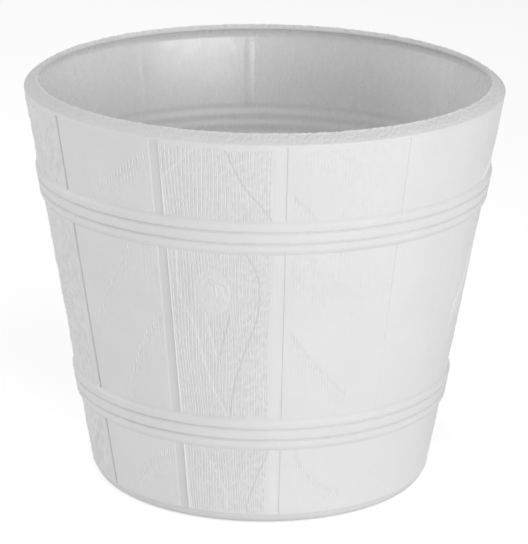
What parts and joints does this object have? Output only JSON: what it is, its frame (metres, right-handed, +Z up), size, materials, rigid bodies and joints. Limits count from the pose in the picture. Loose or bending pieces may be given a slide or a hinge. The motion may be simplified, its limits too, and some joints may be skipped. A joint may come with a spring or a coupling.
{
  "type": "florist bucket",
  "caption": "Round tapering plastic bucket made to look like a wooden barrel, with stave panels, two beaded bands, a sloping rim and a closed floor.",
  "frame": {"origin": "centre of the foot ring, on the surface that the bucket stands on", "axes": "+Z up along the axis of the round body; -Y is the front, where a stave joint lies just to the +X side of the middle"},
  "size_m": [0.3, 0.3, 0.2584],
  "materials": {
    "white_plastic": "satin white injection-moulded plastic, wood grain outside and smooth inside"
  },
  "bodies": {
    "root": {"bucket": "white_plastic"}
  },
  "joints": []
}
